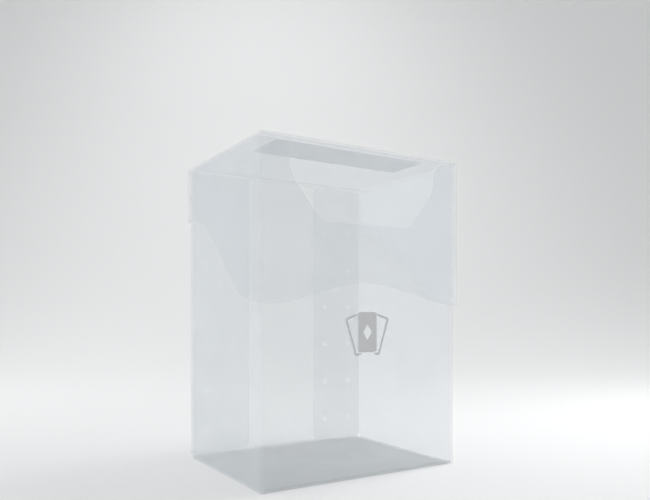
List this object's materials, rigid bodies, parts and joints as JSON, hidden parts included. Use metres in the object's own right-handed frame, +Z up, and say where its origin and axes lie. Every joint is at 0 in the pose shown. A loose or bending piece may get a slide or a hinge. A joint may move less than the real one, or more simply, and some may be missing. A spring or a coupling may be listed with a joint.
{
  "type": "card deck box",
  "caption": "Upright flip-top box for a deck of sleeved cards, folded from frosted clear plastic sheet, with a deep lid on a living hinge, curved lid flaps and a thumb cut in the front.",
  "frame": {"origin": "centre of the base, on the surface the box stands on", "axes": "+X to the right seen from the front, front towards -Y, +Z up; the lid's hinge line runs along X at the top of the back"},
  "size_m": [0.072, 0.0558, 0.0989],
  "materials": {
    "frosted_sheet": "frosted translucent sheet, fine satin haze",
    "fold_lines": "folded sheet, slightly whitened by the bend",
    "weld_spots": "small fused dots, smoother than the sheet",
    "silver_print": "silver-grey screen print",
    "label_film": "blank satin label film"
  },
  "bodies": {
    "box": {"front_panel": "frosted_sheet", "back_panel": "frosted_sheet", "bottom_panel": "frosted_sheet", "left_wall": "frosted_sheet", "right_wall": "frosted_sheet", "left_weld_flap": "frosted_sheet", "right_weld_flap": "frosted_sheet", "left_weld_spots": "weld_spots", "right_weld_spots": "weld_spots", "front_left_fold": "fold_lines", "front_right_fold": "fold_lines", "rear_left_fold": "fold_lines", "rear_right_fold": "fold_lines", "bottom_front_fold": "fold_lines", "bottom_rear_fold": "fold_lines", "living_hinge": "fold_lines", "front_emblem": "silver_print"},
    "lid": {"lid_top": "frosted_sheet", "lid_front_flap": "frosted_sheet", "lid_left_flap": "frosted_sheet", "lid_right_flap": "frosted_sheet", "lid_front_fold": "fold_lines", "lid_left_fold": "fold_lines", "lid_right_fold": "fold_lines", "lid_left_corner": "fold_lines", "lid_right_corner": "fold_lines", "lid_label": "label_film"}
  },
  "joints": [
    {"name": "lid_hinge", "type": "hinge", "parent": "box", "child": "lid", "pos_m": [0, 0.02788, 0.0988], "axis": [-1, 0, 0], "range_deg": [0, 260]}
  ]
}
